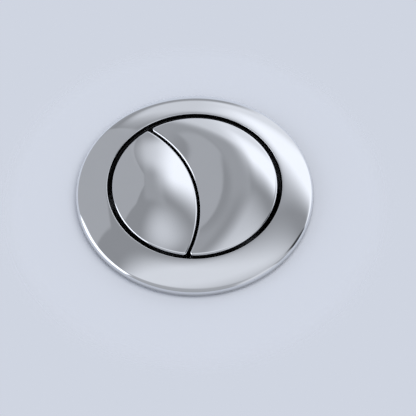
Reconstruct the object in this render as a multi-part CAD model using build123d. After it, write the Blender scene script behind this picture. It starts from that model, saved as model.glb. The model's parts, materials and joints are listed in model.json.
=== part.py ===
from build123d import *
import os
from math import hypot, sqrt

# Dual-flush push button for a cistern lid. Millimetres. The lid's top face is z = 0, the
# button's axis is Z, and the larger full-flush cap lies towards +X.

# Lid that the assembly is clamped in
lid_thickness = 12.0

# Bezel ring: a plated moulding that clips over the sleeve's flange
bezel_radius = 36.5
bezel_wall = 1.4
bezel_lift = 0.4            # gap under the rim, so that the gasket takes the load
rim_height = 2.6            # where the domed face would meet the upright rim
rim_round = 2.0
bezel_face = 9.9            # width of the domed face, seen from above
opening_height = 5.2
opening_round = 0.4
dome_sag = 0.35             # bulge of the domed face over a straight cone
bezel_lug_count = 6
bezel_lug_width = 8.0
bezel_lug_bite = 0.35       # how far a lug hooks under the flange
bezel_lug_play = 0.3        # flange edge to the inside of the rim

# Threaded sleeve: flange on top, a coarse thread outside, a ledge at the foot
sleeve_wall = 2.4
sleeve_length = 26.0        # below the lid's top face
sleeve_chamfer = 1.2
thread_pitch = 4.0
thread_depth = 1.0
thread_crest = 0.9          # width of the ridge at its top
thread_sink = 0.4           # ridge's foot inside the shank
thread_base = 2.6           # width of the ridge at that foot
thread_runout = 1.5         # plain shank at both ends
flange_gap = 0.4            # flange to the underside of the bezel
ledge_width = 2.6
ledge_thickness = 2.5
snap_count = 4
snap_width = 7.0
snap_bite = 0.9
snap_height = 1.8

# Rings around the sleeve
gasket_thickness = 1.0
ring_clearance = 0.3        # loose rings over the thread
washer_thickness = 1.5
washer_inset = 0.1          # washer's edge inside the flange's
nut_clearance = 0.05        # nut's minor diameter over the plain thread
nut_wall = 3.0
nut_height = 9.0
nut_flange_width = 6.2
nut_flange_thickness = 2.2
nut_rib_count = 12
nut_rib_width = 3.4
nut_chamfer = 0.6

# Caps: one disc split by a curved gap into a small lens and a large gibbous shape
ring_gap = 1.4              # bezel opening to the caps
cap_drop = 0.25             # cap edge below the bezel opening
cap_crown = 2.2             # rise of each cap above its own level edge
cap_wall = 1.6
cap_skirt = 6.2
cap_corner = 1.0
cap_edge_round = 0.7
divider_gap = 0.75
divider_radius = 36.9       # middle of the gap
divider_apex = -0.1         # where the middle of the gap crosses the X axis

# Plungers: plate screwed into each cap, stem that runs in the carrier
stem_offset = 11.5          # each stem's distance from the axis
stem_radius = 5.0
stem_tail = 9.0             # below the retaining clip
stop_collar_radius = 6.5
stop_collar_height = 3.6
plate_thickness = 1.6
plate_recess = 0.6          # plate's underside above the skirt's edge
plate_clearance = 0.3       # plate edge to the inside of the skirt
key_width = 2.0
key_height = 1.0
press_travel = 6.5
stop_gap = 0.3              # left between the stop collar and the guide at full press

# Screws that hold each cap to its plunger
screw_radius = 1.45
screw_head_radius = 2.7
screw_head_height = 1.7
screw_bite = 3.2            # thread in the boss
screw_slot = 0.8
screw_slot_length = 3.5
screw_play = 0.15
boss_wall = 1.2
screw_x = 8.8               # each screw's distance from the middle plane between the stems
screw_y = 14.0

# Button carrier: a floor with two guide tubes, clipped into the sleeve
carrier_clearance = 0.3
carrier_floor = 2.5
carrier_rim_height = 3.0
carrier_rim_wall = 1.4
guide_clearance = 0.08      # stem in its guide
guide_wall = 2.1
guide_drop = 3.5            # guide below the floor
keyway_clearance = 0.25
web_thickness = 1.6
web_depth = 2.6
drain_width = 4.0
drain_length = 7.0
drain_inset = 3.5           # middle of a drain inside the sleeve's ledge
drain_angles = (40.0, 140.0, 220.0, 320.0)

# Springs
spring_wire = 1.0
spring_coils = 5.5
spring_sides = 6            # flats of the drawn wire
spring_clearance = 0.5      # coil to the guide tube
spring_cup_height = 1.6
spring_cup_wall = 1.0

# Retaining clips
clip_thickness = 0.8
clip_radius = 7.0
clip_band = 1.4
clip_prong_width = 2.4
clip_mouth = 7.0
groove_depth = 0.9

# Push rods, with a lock nut and a foot each
rod_radius = 3.0
rod_length = 58.0
rod_engagement = 10.0       # rod inside the stem
rod_end_gap = 1.0           # stem bore beyond the rod's end
rod_fit = 0.05
rod_chamfer = 0.6
rod_nut_flats = 10.0
rod_nut_height = 5.0
foot_radius = 6.5
foot_pad_height = 3.0
foot_height = 10.0
foot_wall = 1.8
foot_bore_depth = 6.5
foot_chamfer = 1.2

# Heights and radii that follow from the sizes above
opening_radius = bezel_radius - bezel_face
cap_radius = opening_radius - ring_gap
cap_edge = opening_height - cap_drop
skirt_bottom = cap_edge - cap_skirt
plate_bottom = skirt_bottom + plate_recess
plate_top = plate_bottom + plate_thickness
stop_bottom = plate_bottom - stop_collar_height
guide_top = stop_bottom - press_travel - stop_gap
sleeve_bore = opening_radius
thread_radius = sleeve_bore + sleeve_wall
root_radius = thread_radius - thread_depth
collar_radius = opening_radius + bezel_wall
rim_inside = bezel_radius - bezel_wall
flange_radius = rim_inside - bezel_lug_play
ledge_top = ledge_thickness - sleeve_length
floor_top = ledge_top + carrier_floor
guide_bottom = ledge_top - guide_drop
guide_bore = stem_radius + guide_clearance
guide_radius = guide_bore + guide_wall
clip_bottom = guide_bottom - clip_thickness
stem_bottom = clip_bottom - stem_tail
spring_inside = guide_radius + spring_clearance
spring_radius = spring_inside + spring_wire / 2
rod_top = stem_bottom + rod_engagement
rod_bottom = rod_top - rod_length
foot_top = rod_bottom + foot_bore_depth
divider_x = divider_apex - divider_radius
chord = hypot(bezel_radius - opening_radius, opening_height - rim_height)
dome_radius = chord**2 / (8 * dome_sag) + dome_sag / 2
dome_reach = dome_radius - dome_sag
dome_r = (opening_radius + bezel_radius) / 2 - dome_reach * (opening_height - rim_height) / chord
dome_z = (opening_height + rim_height) / 2 - dome_reach * (bezel_radius - opening_radius) / chord

HALF = -1
FULL = 1


def dome_height(radius, drop=0.0):
    """Height of the bezel's domed face at a radius, lowered by drop."""
    return dome_z + sqrt(dome_radius**2 - (radius - dome_r) ** 2) - drop


def dome_arc(start, end, drop=0.0):
    """Arc of the domed face between two radii, lowered by drop."""
    middle = (start + end) / 2
    points = [(r, dome_height(r, drop)) for r in (start, middle, end)]
    return ThreePointArc(*points)


def rod_of(radius, low, high):
    """Upright cylinder on the Z axis between two heights."""
    return Pos(0, 0, low) * Cylinder(radius, high - low, align=(Align.CENTER, Align.CENTER, Align.MIN))


def tube_of(inside, outside, low, high):
    """Upright tube on the Z axis between two heights."""
    return rod_of(outside, low, high) - rod_of(inside, low, high)


def block_of(length, width, low, high):
    """Upright block centred on the Z axis between two heights."""
    return Pos(0, 0, low) * Box(length, width, high - low, align=(Align.CENTER, Align.CENTER, Align.MIN))


def turned(outline):
    """Solid turned about Z from a closed outline drawn as (radius, height) curves."""
    return revolve(Plane.XZ * make_face(outline), Axis.Z)


def ring_edges(part, radius, height):
    """Circular edges about Z that lie at a radius and a height."""
    rings = part.edges().filter_by(GeomType.CIRCLE)
    return [
        edge
        for edge in rings
        if abs(edge.radius - radius) < 1e-3 and abs(edge.center(CenterOf.BOUNDING_BOX).Z - height) < 1e-3
    ]


def bezel_ring():
    """Domed ring with an upright rim, a collar that sits on the flange, and lugs in the rim."""
    seat = dome_height(collar_radius, bezel_wall + flange_gap)
    under = dome_height(collar_radius, bezel_wall)
    rim_under = dome_height(rim_inside, bezel_wall)
    outline = Curve() + [
        dome_arc(opening_radius, bezel_radius),
        Polyline((bezel_radius, rim_height), (bezel_radius, bezel_lift), (rim_inside, bezel_lift)),
        Line((rim_inside, bezel_lift), (rim_inside, rim_under)),
        dome_arc(rim_inside, collar_radius, bezel_wall),
        Polyline((collar_radius, under), (collar_radius, seat), (opening_radius, seat)),
        Line((opening_radius, seat), (opening_radius, opening_height)),
    ]
    ring = turned(outline)
    ring = fillet(ring_edges(ring, bezel_radius, rim_height), rim_round)
    ring = fillet(ring_edges(ring, opening_radius, opening_height), opening_round)
    lug_ring = tube_of(flange_radius - bezel_lug_bite, rim_inside + bezel_wall / 2, bezel_lift, gasket_thickness)
    lug_span = block_of(bezel_radius, bezel_lug_width, bezel_lift, gasket_thickness)
    lugs = lug_ring & (Pos(bezel_radius, 0, 0) * lug_span)
    return ring + [Rot(0, 0, 360 * i / bezel_lug_count) * lugs for i in range(bezel_lug_count)]


def thread_ridge():
    """Helical ridge with sloping flanks, sunk a little into the shank."""
    path = Helix(thread_pitch, sleeve_length - 2 * thread_runout, root_radius)
    section = Polyline(
        (-thread_sink, -thread_base / 2),
        (thread_depth, -thread_crest / 2),
        (thread_depth, thread_crest / 2),
        (-thread_sink, thread_base / 2),
        close=True,
    )
    start = Plane(origin=path @ 0, x_dir=(1, 0, 0), z_dir=path % 0)
    ridge = sweep(start * make_face(section), path, is_frenet=True)
    return Pos(0, 0, thread_runout - sleeve_length) * ridge


def threaded_sleeve():
    """Tapered flange, shank, foot ledge and the snaps that hold the carrier down."""
    seat = dome_height(collar_radius, bezel_wall + flange_gap)
    edge = dome_height(flange_radius, bezel_wall + flange_gap)
    foot = -sleeve_length
    outline = Curve() + [
        dome_arc(collar_radius, flange_radius, bezel_wall + flange_gap),
        Polyline((flange_radius, edge), (flange_radius, gasket_thickness), (root_radius, gasket_thickness)),
        Polyline(
            (root_radius, gasket_thickness),
            (root_radius, foot + sleeve_chamfer),
            (root_radius - sleeve_chamfer, foot),
            (sleeve_bore - ledge_width, foot),
            (sleeve_bore - ledge_width, ledge_top),
            (sleeve_bore, ledge_top),
            (sleeve_bore, seat),
            (collar_radius, seat),
        ),
    ]
    snap_low = floor_top + carrier_rim_height
    snap = turned(
        Polyline(
            (sleeve_bore + sleeve_wall / 2, snap_low),
            (sleeve_bore - snap_bite, snap_low),
            (sleeve_bore, snap_low + snap_height),
            (sleeve_bore + sleeve_wall / 2, snap_low + snap_height),
            close=True,
        )
    )
    snap &= Pos(sleeve_bore, 0, 0) * block_of(sleeve_bore, snap_width, snap_low, snap_low + snap_height)
    sleeve = turned(outline) + [Rot(0, 0, 360 * (i + 0.5) / snap_count) * snap for i in range(snap_count)]
    return sleeve + thread_ridge()


def lid_gasket():
    """Flat ring between the flange and the lid."""
    outside = flange_radius - bezel_lug_bite - ring_clearance
    return tube_of(thread_radius + ring_clearance, outside, 0, gasket_thickness)


def nut_washer():
    """Flat ring between the lid and the nut."""
    inside = thread_radius + ring_clearance
    return tube_of(inside, flange_radius - washer_inset, -lid_thickness - washer_thickness, -lid_thickness)


def clamp_nut():
    """Flanged ring nut with upright grip ribs under its flange."""
    top = -lid_thickness - washer_thickness
    bottom = top - nut_height
    bore = thread_radius + nut_clearance
    flange_bottom = top - nut_flange_thickness
    outside = bore + nut_flange_width
    nut = rod_of(bore + nut_wall, bottom, top) + rod_of(outside, flange_bottom, top)
    grip = Pos(bore + nut_wall / 2, 0, 0) * block_of(2 * nut_flange_width, nut_rib_width, bottom, flange_bottom)
    grip &= rod_of(outside, bottom, flange_bottom)
    nut += [Rot(0, 0, 360 * i / nut_rib_count) * grip for i in range(nut_rib_count)]
    nut = chamfer(ring_edges(nut, outside, top), nut_chamfer)
    return nut - rod_of(bore, bottom, top)


def button_carrier():
    """Round floor with a rim, keyed guide tubes, spring cups, webs and drain slots."""
    outside = sleeve_bore - carrier_clearance
    web_bottom = ledge_top - web_depth
    web_reach = 2 * (sleeve_bore - ledge_width - carrier_clearance)
    cup_inside = spring_radius + spring_wire / 2 + spring_clearance
    carrier = rod_of(outside, ledge_top, floor_top)
    carrier += tube_of(outside - carrier_rim_wall, outside, floor_top, floor_top + carrier_rim_height)
    webs = block_of(web_reach, web_thickness, web_bottom, ledge_top)
    for side in (HALF, FULL):
        webs += Pos(side * stem_offset, 0, 0) * block_of(web_thickness, web_reach, web_bottom, ledge_top)
    carrier += webs & rod_of(web_reach / 2, web_bottom, ledge_top)
    drain_radius = sleeve_bore - ledge_width - drain_inset
    drain = extrude(Pos(drain_radius, 0, ledge_top) * SlotOverall(drain_length, drain_width, 90), carrier_floor)
    carrier -= [Rot(0, 0, angle) * drain for angle in drain_angles]
    for side in (HALF, FULL):
        place = Pos(side * stem_offset, 0, 0)
        carrier += place * rod_of(guide_radius, guide_bottom, guide_top)
        carrier += place * tube_of(cup_inside, cup_inside + spring_cup_wall, floor_top, floor_top + spring_cup_height)
        keyway = 2 * (stem_radius + key_height + keyway_clearance)
        bore = rod_of(guide_bore, guide_bottom, guide_top)
        bore += block_of(key_width + 2 * keyway_clearance, keyway, guide_bottom, guide_top)
        carrier -= place * bore
    return carrier


def cap_outline(side, inset=0.0):
    """Flat outline of a cap, drawn in by inset, with its two corners rounded."""
    disc = Circle(cap_radius - inset)
    arc = Pos(divider_x, 0) * Circle(divider_radius + side * (divider_gap / 2 + inset))
    shape = disc & arc if side == HALF else disc - arc
    return fillet(shape.vertices(), cap_corner)


def cap_swell(x, y, side):
    """Product of the two distances that vanish on the outer circle and on the divider arc."""
    arc_radius = divider_radius + side * divider_gap / 2
    outer = 1 - (x**2 + y**2) / cap_radius**2
    inner = side * ((hypot(x - divider_x, y) / arc_radius) ** 2 - 1)
    return outer * inner


def crown_face(side, drop=0.0):
    """Pillowed face that is level along the cap's whole edge, lowered by drop."""
    steps = 16
    samples = 200
    margin = cap_wall
    reach = cap_radius + margin
    left = -reach if side == HALF else -cap_radius / 2
    right = margin if side == HALF else reach
    peak = max(cap_swell(side * cap_radius * i / samples, 0, side) for i in range(samples))
    rows = []
    for i in range(steps + 1):
        x = left + (right - left) * i / steps
        ys = [reach * (2 * j / steps - 1) for j in range(steps + 1)]
        rows.append([(x, y, cap_edge - drop + cap_crown * cap_swell(x, y, side) / peak) for y in ys])
    return Face.make_surface_from_array_of_points(rows, tol=0.001, min_deg=4, max_deg=6)


def under_crown(outline, side, bottom, drop=0.0):
    """Upright solid from bottom up to the crowned face."""
    height = 2 * (cap_edge + cap_crown - bottom)
    blank = extrude(Pos(0, 0, bottom) * outline, height)
    return blank - extrude(crown_face(side, drop), 2 * height, dir=(0, 0, 1))


def screw_places(side):
    """Where the screws pass through a plunger's plate."""
    return [Pos(side * screw_x, y, 0) for y in (-screw_y, screw_y)]


def button_cap(side):
    """Crowned shell with a rounded edge, an upright skirt and a boss for each screw."""
    outside = under_crown(cap_outline(side), side, skirt_bottom)
    top = outside.faces().sort_by(Axis.Z)[-1]
    cap = fillet(top.outer_wire().edges(), cap_edge_round)
    inside = under_crown(cap_outline(side, cap_wall), side, skirt_bottom - cap_wall, cap_wall)
    hole_top = plate_top + screw_bite
    for place in screw_places(side):
        boss = place * rod_of(screw_radius + boss_wall, plate_top, cap_edge + cap_crown)
        hole = place * rod_of(screw_radius + rod_fit, plate_top, hole_top)
        inside -= boss
        inside += hole
    return cap - inside


def plunger(side):
    """Plate that fits inside the cap, with a stop collar and a keyed stem below it."""
    inset = cap_wall + plate_clearance
    if side == HALF:
        outline = cap_outline(side, inset)
    else:
        flat_edge = divider_apex + divider_gap / 2 + inset
        outline = Circle(cap_radius - inset)
        outline &= Pos(flat_edge + cap_radius, 0) * Rectangle(2 * cap_radius, 2 * cap_radius)
        outline = fillet(outline.vertices(), cap_corner)
    place = Pos(side * stem_offset, 0, 0)
    body = extrude(Pos(0, 0, plate_bottom) * outline, plate_thickness)
    body += place * rod_of(stop_collar_radius, stop_bottom, plate_bottom)
    body += place * rod_of(stem_radius, stem_bottom, plate_bottom)
    key_bottom = guide_bottom + clip_thickness
    body += place * block_of(key_width, 2 * (stem_radius + key_height), key_bottom, stop_bottom)
    body -= place * tube_of(stem_radius - groove_depth, stem_radius + key_height, clip_bottom, guide_bottom)
    body -= place * rod_of(rod_radius + rod_fit, stem_bottom, rod_top + rod_end_gap)
    for hole in screw_places(side):
        body -= hole * rod_of(screw_radius + screw_play, plate_bottom, plate_top)
    return body


def cap_screws(side):
    """Pan-head screws, driven up through the plate into the cap's bosses."""
    head_bottom = plate_bottom - screw_head_height
    screw = rod_of(screw_head_radius, head_bottom, plate_bottom)
    screw = chamfer(ring_edges(screw, screw_head_radius, head_bottom), screw_head_height / 2)
    screw += rod_of(screw_radius, plate_bottom, plate_top + screw_bite)
    for angle in (0, 90):
        slot = block_of(screw_slot_length, screw_slot, head_bottom, head_bottom + screw_head_height / 2)
        screw -= Rot(0, 0, angle) * slot
    return Compound(children=[place * screw for place in screw_places(side)])


def spring(side):
    """Helical compression spring with ground ends, between the floor and the plate."""
    length = plate_bottom - floor_top
    pitch = (length + spring_wire / 2) / spring_coils
    path = Helix(pitch, pitch * spring_coils, spring_radius)
    section = RegularPolygon(spring_wire / 2, spring_sides)
    wire = sweep(Plane(origin=path @ 0, z_dir=path % 0) * section, path)
    placed = Pos(side * stem_offset, 0, floor_top - spring_wire / 4) * wire
    room = rod_of(spring_radius + spring_wire, floor_top, plate_bottom)
    return placed & (Pos(side * stem_offset, 0, 0) * room)


def stem_clip(side):
    """E-clip in the stem's groove, held against the foot of the guide tube."""
    groove = stem_radius - groove_depth + rod_fit
    shape = Circle(clip_radius) - Circle(clip_radius - clip_band)
    for angle in (0, 120, 240):
        prong = Rectangle(clip_radius - groove - clip_band / 2, clip_prong_width, align=(Align.MIN, Align.CENTER))
        shape += Rot(0, 0, angle) * Pos(groove, 0) * prong
    shape -= Circle(groove)
    shape -= Pos(-clip_radius, 0) * Rectangle(clip_radius, clip_mouth)
    clip = extrude(Pos(0, 0, clip_bottom) * Rot(0, 0, 180 if side == HALF else 0) * shape, clip_thickness)
    return Pos(side * stem_offset, 0, 0) * clip


def push_rod(side):
    """Rod at its thread's major diameter, chamfered at both ends."""
    rod = rod_of(rod_radius, rod_bottom, rod_top)
    rod = chamfer(rod.edges().filter_by(GeomType.CIRCLE), rod_chamfer)
    return Pos(side * stem_offset, 0, 0) * rod


def rod_nut(side):
    """Hexagon nut that locks the rod against the stem's end."""
    bottom = stem_bottom - rod_nut_height
    corner = rod_nut_flats / sqrt(3)
    nut = extrude(Pos(0, 0, bottom) * RegularPolygon(corner, 6), rod_nut_height)
    crowned = rod_of(corner, bottom, stem_bottom)
    nut &= chamfer(crowned.edges().filter_by(GeomType.CIRCLE), rod_chamfer)
    return Pos(side * stem_offset, 0, 0) * (nut - rod_of(rod_radius + rod_fit, bottom, stem_bottom))


def rod_foot(side):
    """Mushroom foot pressed on the rod's lower end."""
    bottom = foot_top - foot_height
    foot = rod_of(foot_radius, bottom, bottom + foot_pad_height)
    foot = chamfer(ring_edges(foot, foot_radius, bottom + foot_pad_height), foot_chamfer)
    foot += rod_of(rod_radius + foot_wall, bottom, foot_top)
    return Pos(side * stem_offset, 0, 0) * (foot - rod_of(rod_radius + rod_fit, rod_bottom, foot_top))


pieces = {
    "bezel_ring": bezel_ring(),
    "threaded_sleeve": threaded_sleeve(),
    "lid_gasket": lid_gasket(),
    "nut_washer": nut_washer(),
    "clamp_nut": clamp_nut(),
    "button_carrier": button_carrier(),
}
for label, side in (("half", HALF), ("full", FULL)):
    pieces[f"{label}_cap"] = button_cap(side)
    pieces[f"{label}_plunger"] = plunger(side)
    pieces[f"{label}_cap_screws"] = cap_screws(side)
    pieces[f"{label}_spring"] = spring(side)
    pieces[f"{label}_stem_clip"] = stem_clip(side)
    pieces[f"{label}_push_rod"] = push_rod(side)
    pieces[f"{label}_rod_nut"] = rod_nut(side)
    pieces[f"{label}_rod_foot"] = rod_foot(side)

os.makedirs("parts", exist_ok=True)
for node, piece in pieces.items():
    export_step(piece, f"parts/{node}.step")
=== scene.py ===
import json

import bpy
import numpy as np
from mathutils import Matrix, Vector


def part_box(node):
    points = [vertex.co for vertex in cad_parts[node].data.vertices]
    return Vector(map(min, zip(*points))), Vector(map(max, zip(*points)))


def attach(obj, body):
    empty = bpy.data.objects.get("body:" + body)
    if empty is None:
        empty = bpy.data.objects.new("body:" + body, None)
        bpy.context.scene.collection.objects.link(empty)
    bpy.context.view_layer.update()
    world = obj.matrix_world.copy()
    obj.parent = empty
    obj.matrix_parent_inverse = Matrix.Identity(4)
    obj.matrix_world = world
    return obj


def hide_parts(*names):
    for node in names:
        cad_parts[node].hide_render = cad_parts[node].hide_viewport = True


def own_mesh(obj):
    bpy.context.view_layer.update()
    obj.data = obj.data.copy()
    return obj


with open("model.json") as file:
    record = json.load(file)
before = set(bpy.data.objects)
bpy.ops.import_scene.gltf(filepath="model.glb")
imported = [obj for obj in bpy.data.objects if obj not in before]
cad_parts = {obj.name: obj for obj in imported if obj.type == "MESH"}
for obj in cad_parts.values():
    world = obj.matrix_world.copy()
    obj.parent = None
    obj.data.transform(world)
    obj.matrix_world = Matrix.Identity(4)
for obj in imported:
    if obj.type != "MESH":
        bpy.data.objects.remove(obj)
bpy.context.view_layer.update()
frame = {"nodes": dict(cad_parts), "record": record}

# Threaded sleeve. One black moulding that drops through the lid's hole: a sloping flange
# under the bezel, a coarse thread outside for the ring nut, and inside it a ledge and four
# snaps that hold the carrier.

lid_hole = next(mount for mount in frame["record"]["mounts"] if mount["name"] == "lid_hole")
thread_radius = lid_hole["dims"]["r_mm"] / 1000
sleeve_low, sleeve_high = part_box("threaded_sleeve")
bezel_low, bezel_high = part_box("bezel_ring")
gasket_low, gasket_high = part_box("lid_gasket")
bezel_radius = bezel_high.x
flange_radius = sleeve_high.x
opening_radius = 0.0266
opening_height = 0.0052
rim_height = 0.0026
dome_sag = 0.00035
bezel_wall = 0.0014
flange_gap = 0.0004
collar_radius = opening_radius + bezel_wall
sleeve_chamfer = 0.0012
ledge_radius = 0.0240
ledge_top = -0.0235
snap_low = -0.0180
snap_height = 0.0018
snap_bite = 0.0009
snap_count = 4
snap_half_width = 0.0035
snap_half_angle = snap_half_width / opening_radius
thread_pitch = 0.0040
thread_depth = 0.0010
root_radius = thread_radius - thread_depth
ridge_half_crest = 0.00045
ridge_half_foot = 0.00106
ridge_inset = 0.0015
sleeve_step = 0.00025
sleeve_turns = 240
flange_cells = 12
fine_edge = 0.0002
soft_edge = 0.0003
arc_cells = 10
sharp_angle = np.radians(35)
tolerance = 1e-6


def dome(start, end, drop, count, sag=dome_sag):
    """Points (radius, height, round) of the bezel's domed face between two radii, lowered by drop.
    It is the arc that bulges by sag over the straight line between the face's two edges: height
    = middle + sqrt(arc radius squared - horizontal distance squared)."""
    width, fall = bezel_radius - opening_radius, opening_height - rim_height
    chord = np.hypot(width, fall)
    arc_radius = chord**2 / (8 * sag) + sag / 2
    lean = (arc_radius - sag) / chord
    middle_r = (opening_radius + bezel_radius) / 2 - lean * fall
    middle_z = (opening_height + rim_height) / 2 - lean * width
    radius = np.linspace(start, end, count)
    height = middle_z + np.sqrt(arc_radius**2 - (radius - middle_r) ** 2) - drop
    return np.stack([radius, height, np.zeros(count)], axis=1)


def outline(corners, step, loop=True):
    """Profile through corners (radius, height, round). Each rounded corner is an exact arc, the
    rational curve between its two tangent points with the corner as the control point, and
    straight runs are cut into lengths of at most step."""
    corners = np.array(corners, float)
    spot, bend = corners[:, :2], corners[:, 2]
    back = np.roll(spot, 1, axis=0) - spot
    ahead = np.roll(spot, -1, axis=0) - spot
    back /= np.linalg.norm(back, axis=1, keepdims=True)
    ahead /= np.linalg.norm(ahead, axis=1, keepdims=True)
    half = np.arccos(np.clip((back * ahead).sum(axis=1), -1, 1)) / 2
    reach = (bend / np.tan(half))[:, None]
    share = np.linspace(0, 1, arc_cells + 1)[:, None]
    first, middle, last = (1 - share) ** 2, 2 * share * (1 - share), share**2
    points = []
    for i, corner in enumerate(spot):
        if bend[i] == 0:
            points.append(corner[None])
            continue
        weight = middle * np.sin(half[i])
        start, end = corner + back[i] * reach[i], corner + ahead[i] * reach[i]
        points.append((first * start + weight * corner + last * end) / (first + weight + last))
    points = np.concatenate(points)
    if loop:
        points = np.concatenate([points, points[:1]])
    runs = []
    for here, there in zip(points[:-1], points[1:]):
        cuts = max(1, int(np.ceil(np.linalg.norm(there - here) / step)))
        runs.append(here + (there - here) * np.linspace(0, 1, cuts, endpoint=False)[:, None])
    if not loop:
        runs.append(points[-1:])
    return np.concatenate(runs)


def lathe(profile, turns, relief=None, middle=(0, 0)):
    """Profile of (radius, height) carried round an upright axis: the point at angle t is
    (r cos t, r sin t, z), where relief(r, z, t) may change r over the surface."""
    angle = np.linspace(0, 2 * np.pi, turns, endpoint=False)
    radius, turn = np.meshgrid(profile[:, 0], angle, indexing="ij")
    height = np.repeat(profile[:, 1:], turns, axis=1)
    if relief:
        radius = relief(radius, height, turn)
    x = middle[0] + radius * np.cos(turn)
    y = middle[1] + radius * np.sin(turn)
    return np.stack([x, y, height], axis=-1)


def skin(name, grid, material, loop=True):
    """Mesh over grid[i, j], whose columns close round a ring. With loop the rows close too;
    otherwise the first and last rows are single points and become the poles of fans. The
    signed volume, the sum of a . (b x c) over the faces, tells which way they point."""
    columns = grid.shape[1]
    body = grid if loop else grid[1:-1]
    index = np.arange(body.shape[0] * columns).reshape(-1, columns)
    points = body.reshape(-1, 3)
    here, there = (index, np.roll(index, -1, axis=0)) if loop else (index[:-1], index[1:])
    quads = np.stack([here, np.roll(here, -1, 1), np.roll(there, -1, 1), there], axis=-1).reshape(-1, 4)
    fans = np.zeros((0, 3), int)
    if not loop:
        poles = len(points) + np.array([[0], [1]]) * np.ones(columns, int)
        points = np.concatenate([points, grid[:1, 0], grid[-1:, 0]])
        start = np.stack([poles[0], np.roll(index[0], -1), index[0]], axis=1)
        end = np.stack([poles[1], index[-1], np.roll(index[-1], -1)], axis=1)
        fans = np.concatenate([start, end])
    triangles = points[np.concatenate([quads[:, [0, 1, 2]], quads[:, [0, 2, 3]], fans])]
    volume = (triangles[:, 0] * np.cross(triangles[:, 1], triangles[:, 2])).sum()
    if volume < 0:
        quads, fans = quads[:, ::-1], fans[:, ::-1]
    mesh = bpy.data.meshes.new(name)
    mesh.from_pydata(points.tolist(), [], quads.tolist() + fans.tolist())
    mesh.shade_smooth()
    mesh.set_sharp_from_angle(angle=sharp_angle)
    mesh.materials.append(material)
    piece = bpy.data.objects.new(name, mesh)
    bpy.context.collection.objects.link(piece)
    return piece


def away(turn, copies, offset=0.0):
    """Angle between each point and the nearest of so many even places round the axis."""
    spacing = 2 * np.pi / copies
    return np.abs((turn - offset + spacing / 2) % spacing - spacing / 2)


def sleeve_relief(radius, height, turn):
    """Stands a ridge out of the shank, a trapezoid about the nearest lap of the helix whose
    height climbs by one pitch a turn, and four wedge-shaped snaps out of the bore."""
    shank = np.isclose(radius, root_radius, atol=tolerance)
    inside = np.isclose(radius, opening_radius, atol=tolerance)
    start = sleeve_low.z + ridge_inset + thread_pitch * turn / (2 * np.pi)
    last = np.floor((-ridge_inset - start) / thread_pitch)
    lap = np.clip(np.round((height - start) / thread_pitch), 0, last)
    off = np.abs(height - start - lap * thread_pitch)
    ridge = thread_depth * np.clip((ridge_half_foot - off) / (ridge_half_foot - ridge_half_crest), 0, 1)
    wedge = np.clip((snap_low + snap_height - height) / snap_height, 0, 1) * (height >= snap_low)
    snap = snap_bite * wedge * (away(turn, snap_count, np.pi / snap_count) < snap_half_angle)
    return radius + shank * ridge - inside * snap


def shader_group(name, inputs, outputs):
    """Empty shader group with named sockets, and its first and last nodes."""
    group = bpy.data.node_groups.new(name, "ShaderNodeTree")
    for socket, kind in inputs:
        group.interface.new_socket(socket, in_out="INPUT", socket_type=kind)
    for socket, kind in outputs:
        group.interface.new_socket(socket, in_out="OUTPUT", socket_type=kind)
    return group, group.nodes.new("NodeGroupInput"), group.nodes.new("NodeGroupOutput")


def scaled(tree, value, low, high):
    """Node that carries a 0 to 1 value on to the range from low to high."""
    node = tree.nodes.new("ShaderNodeMapRange")
    node.inputs["To Min"].default_value = low
    node.inputs["To Max"].default_value = high
    tree.links.new(value, node.inputs["Value"])
    return node.outputs["Result"]


# The skin of a moulding: slow clouds of tone from the flow of the melt, and a fine even grain.
moulded_skin, skin_in, skin_out = shader_group(
    "moulded_skin",
    [("Vector", "NodeSocketVector"), ("Grain", "NodeSocketFloat")],
    [("Tone", "NodeSocketFloat"), ("Height", "NodeSocketFloat")],
)
for socket, detail, spread in (("Tone", 3, 0.04), ("Height", 2, 1.0)):
    grain = moulded_skin.nodes.new("ShaderNodeMath")
    grain.operation = "MULTIPLY"
    grain.inputs[1].default_value = spread
    noise = moulded_skin.nodes.new("ShaderNodeTexNoise")
    noise.inputs["Detail"].default_value = detail
    moulded_skin.links.new(skin_in.outputs["Grain"], grain.inputs[0])
    moulded_skin.links.new(skin_in.outputs["Vector"], noise.inputs["Vector"])
    moulded_skin.links.new(grain.outputs["Value"], noise.inputs["Scale"])
    moulded_skin.links.new(noise.outputs["Fac"], skin_out.inputs[socket])


def moulded(name, dark, light, smooth, rough, grain, bump):
    """Moulded plastic or rubber: the tone runs from dark to light and from smooth to rough over
    slow clouds, with a grain of so many cells per metre raised by bump metres."""
    material = bpy.data.materials.new(name)
    material.use_nodes = True
    tree = material.node_tree
    shader = tree.nodes["Principled BSDF"]
    place = tree.nodes.new("ShaderNodeTexCoord")
    pattern = tree.nodes.new("ShaderNodeGroup")
    pattern.node_tree = moulded_skin
    pattern.inputs["Grain"].default_value = grain
    tint = tree.nodes.new("ShaderNodeMix")
    tint.data_type = "RGBA"
    tint.inputs["A"].default_value = (*dark, 1)
    tint.inputs["B"].default_value = (*light, 1)
    relief = tree.nodes.new("ShaderNodeBump")
    relief.inputs["Distance"].default_value = bump
    tree.links.new(place.outputs["Object"], pattern.inputs["Vector"])
    tree.links.new(pattern.outputs["Tone"], tint.inputs["Factor"])
    tree.links.new(tint.outputs["Result"], shader.inputs["Base Color"])
    tree.links.new(scaled(tree, pattern.outputs["Tone"], smooth, rough), shader.inputs["Roughness"])
    tree.links.new(pattern.outputs["Height"], relief.inputs["Height"])
    tree.links.new(relief.outputs["Normal"], shader.inputs["Normal"])
    return material


def fit_piece(name, grid, material, body, node, loop=True):
    """Skin with the given material that rides on a body and stands for one CAD node, which it hides."""
    piece = skin(name, grid, material, loop)
    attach(piece, body)
    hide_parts(node)
    return piece


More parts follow.
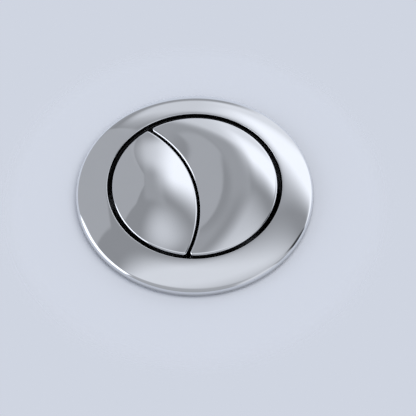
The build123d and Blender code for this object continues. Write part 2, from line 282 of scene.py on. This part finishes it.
black_moulding = moulded(
    "black_moulding",
    dark=(0.012, 0.012, 0.013),
    light=(0.020, 0.020, 0.022),
    smooth=0.34,
    rough=0.46,
    grain=5200,
    bump=0.00002,
)
foot = sleeve_low.z
drop = bezel_wall + flange_gap
sleeve_profile = outline(
    [
        *dome(collar_radius, flange_radius, drop, flange_cells),
        (flange_radius, gasket_high.z, fine_edge),
        (root_radius, gasket_high.z, 0),
        (root_radius, foot + sleeve_chamfer, 0),
        (root_radius - sleeve_chamfer, foot, soft_edge),
        (ledge_radius, foot, soft_edge),
        (ledge_radius, ledge_top, fine_edge),
        (opening_radius, ledge_top, 0),
        (opening_radius, sleeve_high.z, fine_edge),
    ],
    sleeve_step,
)
fit_piece(
    "sleeve_moulding",
    lathe(sleeve_profile, sleeve_turns, sleeve_relief),
    black_moulding,
    "housing",
    "threaded_sleeve",
)

# Lid gasket. A flat ring cut from black closed-cell rubber sheet, between the flange and the
# lid. Its cut edges bulge a little under the clamping load.

gasket_inside = 0.0293
gasket_bulge = 0.0003
ring_step = 0.0006
ring_turns = 192
gasket_rubber = moulded(
    "gasket_rubber",
    dark=(0.030, 0.030, 0.031),
    light=(0.055, 0.055, 0.056),
    smooth=0.62,
    rough=0.8,
    grain=2600,
    bump=0.00008,
)
gasket_profile = outline(
    [
        (gasket_inside, gasket_low.z, gasket_bulge),
        (gasket_high.x, gasket_low.z, gasket_bulge),
        (gasket_high.x, gasket_high.z, gasket_bulge),
        (gasket_inside, gasket_high.z, gasket_bulge),
    ],
    ring_step,
)
fit_piece(
    "gasket_ring",
    lathe(gasket_profile, ring_turns),
    gasket_rubber,
    "housing",
    "lid_gasket",
)

# Slip washer. A flat ring of soft grey plastic between the lid and the nut, so that the nut
# turns without marking the lid. Its edges are left slightly round by the mould.

washer_low, washer_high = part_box("nut_washer")
washer_edge = 0.0003
washer_plastic = moulded(
    "washer_plastic",
    dark=(0.47, 0.49, 0.50),
    light=(0.58, 0.60, 0.61),
    smooth=0.4,
    rough=0.55,
    grain=3200,
    bump=0.00002,
)
washer_profile = outline(
    [
        (gasket_inside, washer_low.z, washer_edge),
        (washer_high.x, washer_low.z, washer_edge),
        (washer_high.x, washer_high.z, washer_edge),
        (gasket_inside, washer_high.z, washer_edge),
    ],
    ring_step,
)
fit_piece(
    "washer_ring",
    lathe(washer_profile, ring_turns),
    washer_plastic,
    "housing",
    "nut_washer",
)

# Ring nut. One white moulding that runs up the sleeve's thread and clamps the lid from below:
# a flange on top, a plain skirt, and twelve upright ribs to turn it by hand.

nut_low, nut_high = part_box("clamp_nut")
thread_play = 0.00005
nut_wall = 0.0030
nut_flange = 0.0022
nut_bore = thread_radius + thread_play
nut_body = nut_bore + nut_wall
nut_flange_bottom = nut_high.z - nut_flange
nut_ribs = 12
rib_inset = 0.00015
rib_reach = nut_high.x - rib_inset
rib_half_width = 0.0017
rib_slope = 0.0005
skirt_depth = 0.0004
nut_chamfer = 0.0006
nut_step = 0.0005
nut_turns = 480
white_moulding = moulded(
    "white_moulding",
    dark=(0.72, 0.73, 0.72),
    light=(0.80, 0.81, 0.80),
    smooth=0.3,
    rough=0.42,
    grain=4200,
    bump=0.00002,
)


def nut_relief(radius, height, turn):
    """Stands the ribs out of the skirt: full height within rib_half_width of a rib's middle,
    falling to the skirt over rib_slope."""
    skirt = np.isclose(radius, nut_body, atol=skirt_depth) & (height < nut_flange_bottom - tolerance)
    across = away(turn, nut_ribs) * nut_body
    rise = np.clip((rib_half_width + rib_slope - across) / rib_slope, 0, 1)
    return radius + skirt * rise * (rib_reach - nut_body)


nut_profile = outline(
    [
        (nut_bore, nut_high.z, fine_edge),
        (nut_high.x - nut_chamfer, nut_high.z, fine_edge),
        (nut_high.x, nut_high.z - nut_chamfer, fine_edge),
        (nut_high.x, nut_flange_bottom, fine_edge),
        (nut_body, nut_flange_bottom, 0),
        (nut_body, nut_low.z, soft_edge),
        (nut_bore, nut_low.z, soft_edge),
    ],
    nut_step,
)
fit_piece(
    "ring_nut",
    lathe(nut_profile, nut_turns, nut_relief),
    white_moulding,
    "housing",
    "clamp_nut",
)

# Button carrier. A black moulding pushed down into the sleeve until the snaps catch its rim: a
# floor with drain slots and webs, and two keyed tubes that guide the stems.


def dress(node, material):
    """Gives a CAD node its finished material in place of the plain one."""
    slots = frame["nodes"][node].data.materials
    slots.clear()
    slots.append(material)


dress("button_carrier", black_moulding)

# Return springs. Each is a coil of round stainless wire around a guide tube, closed at both
# ends and ground flat, that lifts the plunger's plate from the carrier's floor.

wire_radius = 0.0005
spring_turns = 5.5
closed_turns = 0.75
runout_turns = 0.25
wire_cells = 16
spring_cells = 620
rod_low, rod_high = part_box("full_push_rod")
stem_offset = (rod_low.x + rod_high.x) / 2

# Drawn and polished metal: fine lines along the drawing direction and a slow change of gloss.
metal_polish, polish_in, polish_out = shader_group(
    "metal_polish",
    [("Vector", "NodeSocketVector"), ("Fineness", "NodeSocketFloat")],
    [("Gloss", "NodeSocketFloat"), ("Height", "NodeSocketFloat")],
)
for socket, detail, spread in (("Gloss", 5, 1.0), ("Height", 2, 0.25)):
    fineness = metal_polish.nodes.new("ShaderNodeMath")
    fineness.operation = "MULTIPLY"
    fineness.inputs[1].default_value = spread
    noise = metal_polish.nodes.new("ShaderNodeTexNoise")
    noise.inputs["Detail"].default_value = detail
    metal_polish.links.new(polish_in.outputs["Fineness"], fineness.inputs[0])
    metal_polish.links.new(polish_in.outputs["Vector"], noise.inputs["Vector"])
    metal_polish.links.new(fineness.outputs["Value"], noise.inputs["Scale"])
    metal_polish.links.new(noise.outputs["Fac"], polish_out.inputs[socket])


def polished(name, dark, light, smooth, rough, fineness, wave, stretch=(1, 1, 1)):
    """Bare or plated metal: its tone and gloss drift between two limits, fineness cells per
    metre, and its face waves by so many metres. stretch draws the pattern out along an axis."""
    material = bpy.data.materials.new(name)
    material.use_nodes = True
    tree = material.node_tree
    shader = tree.nodes["Principled BSDF"]
    shader.inputs["Metallic"].default_value = 1
    place = tree.nodes.new("ShaderNodeTexCoord")
    lay = tree.nodes.new("ShaderNodeMapping")
    lay.inputs["Scale"].default_value = stretch
    pattern = tree.nodes.new("ShaderNodeGroup")
    pattern.node_tree = metal_polish
    pattern.inputs["Fineness"].default_value = fineness
    tint = tree.nodes.new("ShaderNodeMix")
    tint.data_type = "RGBA"
    tint.inputs["A"].default_value = (*dark, 1)
    tint.inputs["B"].default_value = (*light, 1)
    relief = tree.nodes.new("ShaderNodeBump")
    relief.inputs["Distance"].default_value = wave
    tree.links.new(place.outputs["Object"], lay.inputs["Vector"])
    tree.links.new(lay.outputs["Vector"], pattern.inputs["Vector"])
    tree.links.new(pattern.outputs["Gloss"], tint.inputs["Factor"])
    tree.links.new(tint.outputs["Result"], shader.inputs["Base Color"])
    tree.links.new(scaled(tree, pattern.outputs["Gloss"], smooth, rough), shader.inputs["Roughness"])
    tree.links.new(pattern.outputs["Height"], relief.inputs["Height"])
    tree.links.new(relief.outputs["Normal"], shader.inputs["Normal"])
    return material


drawn_steel = polished(
    "drawn_steel",
    dark=(0.50, 0.50, 0.51),
    light=(0.64, 0.64, 0.65),
    smooth=0.24,
    rough=0.36,
    fineness=2400,
    wave=0.000004,
    stretch=(1, 1, 3),
)


def coil(middle, low, high, radius):
    """Round wire carried along a helix. The pitch is one wire at both ends and wider between
    them, so the height is the running sum of the pitch, and both ends are ground to flats."""
    turn = np.linspace(0, spring_turns, spring_cells)
    ends = np.minimum(turn, spring_turns - turn)
    pitch = np.clip((ends - closed_turns) / runout_turns, 0, 1)
    climb = np.cumsum(pitch)
    step = spring_turns / (spring_cells - 1)
    room = high - low - wire_radius
    spread = (room - 2 * wire_radius * spring_turns) / (climb[-1] * step)
    rise = low + wire_radius / 2 + 2 * wire_radius * turn + spread * climb * step
    angle = 2 * np.pi * turn
    out = np.stack([np.cos(angle), np.sin(angle), np.zeros_like(angle)], axis=-1)
    path = np.array([*middle, 0]) + radius * out
    path[:, 2] = rise
    tangent = np.gradient(path, axis=0)
    tangent /= np.linalg.norm(tangent, axis=1, keepdims=True)
    across = np.cross(tangent, out)
    around = np.linspace(0, 2 * np.pi, wire_cells, endpoint=False)[None, :, None]
    ring = np.cos(around) * out[:, None] + np.sin(around) * across[:, None]
    tube = path[:, None] + wire_radius * ring
    tips = np.repeat(path[[0, -1]][:, None], wire_cells, axis=1)
    wire = np.concatenate([tips[:1], tube, tips[1:]])
    wire[..., 2] = np.clip(wire[..., 2], low, high)
    return wire


for label, side in (("half", -1), ("full", 1)):
    spring_low, spring_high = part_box(f"{label}_spring")
    middle = (side * stem_offset, 0)
    coil_radius = (spring_high.x - spring_low.x) / 2 - wire_radius
    piece = fit_piece(
        f"{label}_return_spring",
        coil(middle, spring_low.z, spring_high.z, coil_radius),
        drawn_steel,
        "housing",
        f"{label}_spring",
        loop=False,
    )
    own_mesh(piece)

# Plungers. Each is a black moulding screwed up into its cap: a plate, a stop collar and a
# keyed stem that slides in the carrier, kept there by a spring-steel clip in its groove.

for label in ("half", "full"):
    dress(f"{label}_plunger", black_moulding)
    dress(f"{label}_stem_clip", drawn_steel)
    dress(f"{label}_cap_screws", drawn_steel)

# Push rods. White nylon rods with a metric thread over their whole length, screwed up into the
# stems to reach the valve below, and locked there by hexagon nuts.

rod_pitch = 0.0010
rod_depth = 0.00055
rod_chamfer = 0.0006
flank_steepness = 3.0
crest_offset = 1.1
cells_a_pitch = 9
rod_turns = 48


def rod_relief(radius, height, turn):
    """Cuts a right-hand thread into the straight side: a trapezoid wave of height / pitch minus
    the angle's share of a turn, fading out over half a pitch at both ends."""
    straight = np.isclose(radius, rod_radius, atol=tolerance)
    phase = (height / rod_pitch - turn / (2 * np.pi)) % 1
    wave = np.clip(flank_steepness * np.abs(2 * phase - 1) - crest_offset, 0, 1)
    ends = np.clip(2 * np.minimum(height - rod_low.z, rod_high.z - height) / rod_pitch, 0, 1)
    return radius - straight * rod_depth * wave * ends


for label, side in (("half", -1), ("full", 1)):
    rod_low, rod_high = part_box(f"{label}_push_rod")
    rod_radius = rod_high.y
    rod_profile = outline(
        [
            (0, rod_low.z, 0),
            (rod_radius - rod_chamfer, rod_low.z, 0),
            (rod_radius, rod_low.z + rod_chamfer, 0),
            (rod_radius, rod_high.z - rod_chamfer, 0),
            (rod_radius - rod_chamfer, rod_high.z, 0),
            (0, rod_high.z, 0),
        ],
        rod_pitch / cells_a_pitch,
        loop=False,
    )
    fit_piece(
        f"{label}_threaded_rod",
        lathe(rod_profile, rod_turns, rod_relief, (side * stem_offset, 0)),
        white_moulding,
        f"{label}_button",
        f"{label}_push_rod",
        loop=False,
    )
    dress(f"{label}_rod_nut", white_moulding)

# Feet. Dark rubber mushrooms pushed on the lower ends of the rods, with a broad round pad that
# presses on the valve's own button.

foot_wall = 0.0018
foot_pad = 0.0030
foot_slope = 0.0012
foot_edge = 0.0004
foot_fillet = 0.0005
foot_step = 0.0005
foot_turns = 96
foot_rubber = moulded(
    "foot_rubber",
    dark=(0.085, 0.088, 0.092),
    light=(0.13, 0.135, 0.14),
    smooth=0.55,
    rough=0.7,
    grain=3000,
    bump=0.00004,
)
for label, side in (("half", -1), ("full", 1)):
    foot_low, foot_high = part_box(f"{label}_rod_foot")
    bore = rod_radius + thread_play
    bore_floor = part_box(f"{label}_push_rod")[0].z
    foot_radius = foot_high.y
    pad_top = foot_low.z + foot_pad
    foot_profile = outline(
        [
            (0, foot_low.z, 0),
            (foot_radius, foot_low.z, foot_edge),
            (foot_radius, pad_top - foot_slope, foot_edge),
            (foot_radius - foot_slope, pad_top, foot_edge),
            (bore + foot_wall, pad_top, foot_fillet),
            (bore + foot_wall, foot_high.z, foot_edge),
            (bore, foot_high.z, soft_edge),
            (bore, bore_floor, 0),
            (0, bore_floor, 0),
        ],
        foot_step,
        loop=False,
    )
    fit_piece(
        f"{label}_foot",
        lathe(foot_profile, foot_turns, middle=(side * stem_offset, 0)),
        foot_rubber,
        f"{label}_button",
        f"{label}_rod_foot",
        loop=False,
    )

# Bezel. A thin plastic ring with bright plating, clipped over the flange by six small lugs in
# its rim: a gently domed face, a rounded shoulder and an upright rim that hides the gasket.

rim_inside = bezel_radius - bezel_wall
face_cells = 36
opening_margin = 0.0005
rim_margin = 0.0014
rim_round = 0.0020
foot_round = 0.0008
opening_round = 0.0002
lug_count = 6
lug_half_width = 0.0040
lug_reach = 0.00065
bezel_step = 0.0004
bezel_turns = 480
# Painted shade on the rim: below these heights its plating colour falls smoothly to this grey.
painted_shade_below = 0.0012
painted_shade_ends_above = 0.0030
painted_shade_tone = (0.43, 0.435, 0.445)

# The reflections in the photo ask for a face that bulges a little more than the solid's.
face_sag = 0.0005

plating_finish = dict(
    dark=(0.875, 0.885, 0.905),
    light=(0.90, 0.91, 0.925),
    smooth=0.03,
    rough=0.055,
    fineness=160,
    wave=0.0000015,
)
bright_plating = polished("bright_plating", **plating_finish)

# The plating's colour falls to a dull grey towards the rim's foot: painted shade standing in for the
# darker reflection there, not a change in the plating.
rim_plating_painted_shade = polished("rim_plating_painted_shade", **plating_finish)
tree = rim_plating_painted_shade.node_tree
colour = tree.nodes["Principled BSDF"].inputs["Base Color"]
bright_tone = colour.links[0].from_socket
place = tree.nodes.new("ShaderNodeTexCoord")
level = tree.nodes.new("ShaderNodeSeparateXYZ")
# Painted shade: a smooth step on height that darkens the colour towards the rim's foot.
rise = tree.nodes.new("ShaderNodeMapRange")
rise.interpolation_type = "SMOOTHSTEP"
rise.inputs["From Min"].default_value = painted_shade_below
rise.inputs["From Max"].default_value = painted_shade_ends_above
painted_shade_mix = tree.nodes.new("ShaderNodeMix")
painted_shade_mix.data_type = "RGBA"
painted_shade_mix.inputs["A"].default_value = (*painted_shade_tone, 1)
tree.links.new(place.outputs["Object"], level.inputs["Vector"])
tree.links.new(level.outputs["Z"], rise.inputs["Value"])
tree.links.new(rise.outputs["Result"], painted_shade_mix.inputs["Factor"])
tree.links.new(bright_tone, painted_shade_mix.inputs["B"])
tree.links.new(painted_shade_mix.outputs["Result"], colour)


def bezel_relief(radius, height, turn):
    """Stands the lugs out of the foot of the rim's inner wall."""
    inner = np.isclose(radius, rim_inside, atol=tolerance) & (height <= gasket_high.z)
    return radius - inner * lug_reach * (away(turn, lug_count) * rim_inside < lug_half_width)


seat = dome(collar_radius, collar_radius, drop, 1)[0, 1]
bezel_profile = outline(
    [
        (opening_radius, opening_height, opening_round),
        *dome(opening_radius + opening_margin, bezel_radius - rim_margin, 0, face_cells, face_sag),
        (bezel_radius, rim_height, rim_round),
        (bezel_radius, bezel_low.z, foot_round),
        (rim_inside, bezel_low.z, 0),
        *dome(rim_inside, collar_radius, bezel_wall, flange_cells),
        (collar_radius, seat, 0),
        (opening_radius, seat, fine_edge),
    ],
    bezel_step,
)
fit_piece(
    "bezel_shell",
    lathe(bezel_profile, bezel_turns, bezel_relief),
    # The bezel takes the plating with painted shade towards its foot.
    rim_plating_painted_shade,
    "housing",
    "bezel_ring",
)

# Button caps. Two plated shells cut from one disc by a curved gap: a small lens for the half
# flush and a larger one for the full flush, each pillowed from a level edge and screwed down.

cap_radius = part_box("full_cap")[1].x
cap_drop = 0.00025
cap_edge = opening_height - cap_drop
cap_crown = 0.0022
cap_wall = 0.0016
cap_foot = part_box("full_cap")[0].z
cap_corner = 0.0010
edge_round = 0.0007
divider_gap = 0.00075
divider_radius = 0.0369
divider_shift = 0.0001
divider_x = -divider_shift - divider_radius
boss_x = 0.0088
boss_y = 0.0140
boss_low = 0.00095
boss_radius = 0.00265
boss_bore = 0.0015
boss_step = 0.0008
boss_turns = 40
corner_cells = 14
sweep_cells = 150
crown_rows = 44
edge_rows = 8
wall_rows = 8
under_rows = 40
peak_samples = 400


def cap_rim(side, inset):
    """Points of a cap's outline, drawn in by inset along the outward normals, and the normals.
    Four arcs meet with equal tangents: the outer circle, the divider's arc and two corners."""
    arc_radius = divider_radius + side * divider_gap / 2
    ring = cap_radius - cap_corner
    arc = arc_radius + side * cap_corner
    corner_x = (divider_x**2 - arc**2 + ring**2) / (2 * divider_x)
    corner_y = np.sqrt(ring**2 - corner_x**2)
    outer_end = np.arctan2(corner_y, corner_x)
    arc_end = np.arctan2(corner_y, corner_x - divider_x)
    if side < 0:
        turns = [(arc_end, outer_end), (-outer_end, -arc_end)]
        sweeps = [
            (0, cap_radius, outer_end, 2 * np.pi - outer_end),
            (divider_x, arc_radius, -arc_end, arc_end),
        ]
    else:
        turns = [(outer_end, arc_end + np.pi), (np.pi - arc_end, 2 * np.pi - outer_end)]
        sweeps = [
            (divider_x, arc_radius, arc_end, -arc_end),
            (0, cap_radius, -outer_end, outer_end),
        ]
    points, normals = [], []
    for end_y, turn, sweep in zip((corner_y, -corner_y), turns, sweeps):
        for count, x, y, radius, start, end in (
            (corner_cells, corner_x, end_y, cap_corner, *turn),
            (sweep_cells, sweep[0], 0, *sweep[1:]),
        ):
            angle = np.linspace(start, end, count, endpoint=False)
            ray = np.stack([np.cos(angle), np.sin(angle)], axis=1)
            points.append(np.array([x, y]) + radius * ray)
            normals.append(ray * np.sign(end - start))
    normals = np.concatenate(normals)
    return np.concatenate(points) - inset * normals, normals


def cap_height(x, y, side):
    """Pillowed face, level along the whole edge: the product of the distances that vanish on the
    outer circle and on the divider's arc, scaled so that its highest point is the crown."""

    def swell(x, y):
        outer = 1 - (x**2 + y**2) / cap_radius**2
        inner = side * ((np.hypot(x - divider_x, y) / (divider_radius + side * divider_gap / 2)) ** 2 - 1)
        return outer * inner

    peak = swell(side * np.linspace(0, cap_radius, peak_samples), 0).max()
    return cap_edge + cap_crown * swell(x, y) / peak


def cap_grid(side):
    """One closed shell in rows round the cap: out over the crown, round the edge, down the
    skirt, under it, up its inside and in under the crown."""
    centre = np.array([side * stem_offset, 0])
    rim, normal = cap_rim(side, 0)
    edge, _ = cap_rim(side, edge_round)
    inner, _ = cap_rim(side, cap_wall)
    rows = []
    for share in np.sin(np.linspace(0, np.pi / 2, crown_rows)):
        spot = centre + share * (edge - centre)
        rows.append(np.column_stack([spot, cap_height(*spot.T, side)]))
    top = rows[-1][:, 2]
    for turn in np.linspace(0, np.pi / 2, edge_rows)[1:]:
        spot = edge + edge_round * np.sin(turn) * normal
        rows.append(np.column_stack([spot, top - edge_round * (1 - np.cos(turn))]))
    wall_top = rows[-1][:, 2]
    for share in np.linspace(0, 1, wall_rows)[1:]:
        rows.append(np.column_stack([rim, wall_top + share * (cap_foot - wall_top)]))
    inner_top = cap_height(*inner.T, side) - cap_wall
    for share in np.linspace(0, 1, wall_rows):
        rows.append(np.column_stack([inner, cap_foot + share * (inner_top - cap_foot)]))
    for share in np.linspace(1, 0, under_rows)[1:]:
        spot = centre + share * (inner - centre)
        rows.append(np.column_stack([spot, cap_height(*spot.T, side) - cap_wall]))
    return np.stack(rows)


for label, side in (("half", -1), ("full", 1)):
    fit_piece(
        f"{label}_button_cap",
        cap_grid(side),
        bright_plating,
        f"{label}_button",
        f"{label}_cap",
        loop=False,
    )
    for place, y in (("front", -boss_y), ("back", boss_y)):
        roof = cap_height(side * boss_x, y, side) - cap_wall / 2
        boss_profile = outline(
            [
                (boss_bore, boss_low, fine_edge),
                (boss_radius, boss_low, fine_edge),
                (boss_radius, roof, 0),
                (boss_bore, roof, 0),
            ],
            boss_step,
        )
        fit_piece(
            f"{label}_cap_boss_{place}",
            lathe(boss_profile, boss_turns, middle=(side * boss_x, y)),
            bright_plating,
            f"{label}_button",
            f"{label}_cap",
        )

# Floor. A plain pale piece of lid, just large enough to hide what hangs below it from above.
# It fades out at its edge into the studio's own pale ground.

floor_solid = 0.053
floor_end = 0.062
floor_gap = 0.0004
floor_rings = 12
floor_turns = 96
floor_roughness = 0.9
floor_colour = (0.625, 0.665, 0.755)
floor_paint = bpy.data.materials.new("floor_paint")
floor_paint.use_nodes = True
tree = floor_paint.node_tree
shader = tree.nodes["Principled BSDF"]
shader.inputs["Base Color"].default_value = (*floor_colour, 1)
shader.inputs["Roughness"].default_value = floor_roughness
shader.inputs["Specular IOR Level"].default_value = 0.0
place = tree.nodes.new("ShaderNodeTexCoord")
away_from_axis = tree.nodes.new("ShaderNodeVectorMath")
away_from_axis.operation = "LENGTH"
fade = tree.nodes.new("ShaderNodeMapRange")
fade.interpolation_type = "SMOOTHSTEP"
fade.inputs["From Min"].default_value = floor_solid
fade.inputs["From Max"].default_value = floor_end
fade.inputs["To Min"].default_value = 1
fade.inputs["To Max"].default_value = 0
face = tree.nodes.new("ShaderNodeNewGeometry")
front = tree.nodes.new("ShaderNodeMath")
front.operation = "SUBTRACT"
front.use_clamp = True
tree.links.new(place.outputs["Object"], away_from_axis.inputs[0])
tree.links.new(away_from_axis.outputs["Value"], fade.inputs["Value"])
tree.links.new(fade.outputs["Result"], front.inputs[0])
tree.links.new(face.outputs["Backfacing"], front.inputs[1])
tree.links.new(front.outputs["Value"], shader.inputs["Alpha"])

ring_radii = np.linspace(thread_radius + floor_gap, floor_end, floor_rings)
ring_angles = np.linspace(0, 2 * np.pi, floor_turns, endpoint=False)
radius, turn = np.meshgrid(ring_radii, ring_angles, indexing="ij")
points = np.stack([radius * np.cos(turn), radius * np.sin(turn), 0 * radius], axis=-1).reshape(-1, 3)
index = np.arange(radius.size).reshape(radius.shape)
after = np.roll(index, -1, axis=1)
quads = np.stack([index[:-1], index[1:], after[1:], after[:-1]], axis=-1).reshape(-1, 4)
floor_mesh = bpy.data.meshes.new("floor")
floor_mesh.from_pydata(points.tolist(), [], quads.tolist())
floor_mesh.materials.append(floor_paint)
floor = bpy.data.objects.new("floor", floor_mesh)
bpy.context.collection.objects.link(floor)

# Studio. A grey room worked out from the direction alone, as patches in the plane overhead: a window
# behind on the right, a dimmer one beside it, paler walls, a soft panel above, a lamp on the left,
# a pale strip in front and a dark door on the right. At the horizon it turns into the pale ground.

studio_turn = np.radians(15.4)
lowest = 0.02
room_tint = np.array([0.965, 1.0, 1.075])
world = bpy.data.worlds.new("studio")
bpy.context.scene.world = world
world.use_nodes = True
tree = world.node_tree
view = tree.nodes.new("ShaderNodeTexCoord")
turned = tree.nodes.new("ShaderNodeMapping")
turned.inputs["Rotation"].default_value = (0, 0, studio_turn)
axes = tree.nodes.new("ShaderNodeSeparateXYZ")
tree.links.new(view.outputs["Generated"], turned.inputs["Vector"])
tree.links.new(turned.outputs["Vector"], axes.inputs["Vector"])


def math_node(operation, *values):
    """Math node on one or two values, each a socket or a number."""
    node = tree.nodes.new("ShaderNodeMath")
    node.operation = operation
    for socket, value in zip(node.inputs, values):
        if isinstance(value, (int, float)):
            socket.default_value = value
        else:
            tree.links.new(value, socket)
    return node.outputs["Value"]


def patch(*edges):
    """Mask with soft edges, the product of smooth steps of a value from 0 at start to 1 at end,
    which may be the smaller of the two."""
    mask = 1.0
    for value, start, end in edges:
        node = tree.nodes.new("ShaderNodeMapRange")
        node.interpolation_type = "SMOOTHSTEP"
        node.inputs["From Min"].default_value = min(start, end)
        node.inputs["From Max"].default_value = max(start, end)
        node.inputs["To Min"].default_value = float(start > end)
        node.inputs["To Max"].default_value = float(start < end)
        tree.links.new(value, node.inputs["Value"])
        mask = math_node("MULTIPLY", node.outputs["Result"], mask)
    return mask


def lit(over, colour, mask):
    """Colour laid over another by a mask. Each is a socket, a brightness or a tuple."""
    node = tree.nodes.new("ShaderNodeMix")
    node.data_type = "RGBA"
    for name, value in (("A", over), ("B", colour)):
        if isinstance(value, float):
            value = tuple(value * room_tint)
        if isinstance(value, tuple):
            node.inputs[name].default_value = (*value, 1)
        else:
            tree.links.new(value, node.inputs[name])
    tree.links.new(mask, node.inputs["Factor"])
    return node.outputs["Result"]


upward = axes.outputs["Z"]
height = math_node("MAXIMUM", upward, lowest)
across = math_node("DIVIDE", axes.outputs["X"], height)
back = math_node("DIVIDE", axes.outputs["Y"], height)


def slant(right, rear):
    """Distance in the plane overhead along a slanting direction."""
    return math_node("ADD", math_node("MULTIPLY", across, right), math_node("MULTIPLY", back, rear))


rear_wall = patch((across, -0.27, -0.15), (across, 0.20, 0.08), (back, 0.42, 0.55))
left_wall = patch(
    (across, -0.18, -0.22),
    (slant(-0.55, 1), 0.62, 0.66),
    (slant(-1.6, 1), 1.02, 1.08),
    (slant(1.63, 1), 0.66, 0.60),
)
dim_window = patch((slant(1.63, 1), 0.45, 1.3), (back, 0.93, 1.28), (across, -1.2, -0.5))
window_top = patch((slant(-0.4, 1), 1.15, 2.1))
window = patch((across, -0.06, 0.39), (slant(0.06, 1), 0.53, 1.06))
panel_front = patch((slant(1, -2.5), 0.35, 1.15))
panel = patch((slant(1, -1.05), -0.60, -0.20), (slant(0.35, 1), 0.70, 0.10))
front_wall = patch((back, -0.3, -0.6))
left_lamp = patch((across, -1.0, -1.5), (slant(0.3, 1), 0.15, -0.1), (slant(-0.75, 1), -0.15, 0.1))
pale_strip = patch((across, 0.4, 1.3), (slant(0.45, 1), 0.1, -0.2), (slant(1.7, 1), -0.4, 0.7))
dark_door = patch((across, 1.0, 1.35), (slant(0.14, 1), -0.15, 0.1), (slant(-0.14, 1), 0.15, -0.1))
low_wall = patch((back, 2.9, 3.9), (slant(1, -0.3), 0.2, -0.8))
ground = patch((upward, 0.20, 0.17))
room = 0.29
for brightness, mask in (
    (0.35, rear_wall),
    (0.405, left_wall),
    (0.66, dim_window),
    (lit(1.05, 0.79, window_top), window),
    (lit(0.74, 0.58, panel_front), panel),
    (0.40, front_wall),
    (1.7, left_lamp),
    (0.72, pale_strip),
    (0.05, dark_door),
    (0.32, low_wall),
    (floor_colour, ground),
):
    room = lit(room, brightness, mask)
tree.links.new(room, tree.nodes["Background"].inputs["Color"])

# Overhead lamp. One very soft light that brings the floor and the plastics to their own colours
# and that the plating doesn't mirror.

lamp_spread = np.radians(70)
lamp_tilt = np.radians(20)
lamp_hinge = Vector((0.6, 0.8, 0))
lamp = bpy.data.lights.new("overhead", "SUN")
lamp.energy = 1.57
lamp.color = (1.0, 0.955, 0.87)
lamp.angle = lamp_spread
overhead = bpy.data.objects.new("overhead", lamp)
overhead.visible_glossy = False
overhead.matrix_world = Matrix.Rotation(lamp_tilt, 4, lamp_hinge)
bpy.context.collection.objects.link(overhead)

# Camera. It stands in front, turned 15 degrees towards the small cap's side, and looks down on the
# button at 57 degrees. Lens, distance and aim were fitted to the outlines in the photo.

photo_width = 416
focal_pixels = 950
camera_distance = 0.2897
camera_elevation = np.radians(57.29)
aim_right = 0.00402
aim_ahead = -0.00586
right = Vector((np.cos(studio_turn), -np.sin(studio_turn), 0))
ahead = Vector((np.sin(studio_turn), np.cos(studio_turn), 0))
aim = aim_right * right + aim_ahead * ahead
towards = Vector((0, 0, 1)) * np.sin(camera_elevation) - ahead * np.cos(camera_elevation)
lens = bpy.data.cameras.new("camera")
lens.sensor_width = 36
lens.lens = focal_pixels / photo_width * lens.sensor_width
camera = bpy.data.objects.new("camera", lens)
facing = towards.to_track_quat("Z", "Y").to_matrix().to_4x4()
camera.matrix_world = Matrix.Translation(aim + camera_distance * towards) @ facing
bpy.context.collection.objects.link(camera)
bpy.context.scene.camera = camera
bpy.context.scene.view_settings.view_transform = "Standard"
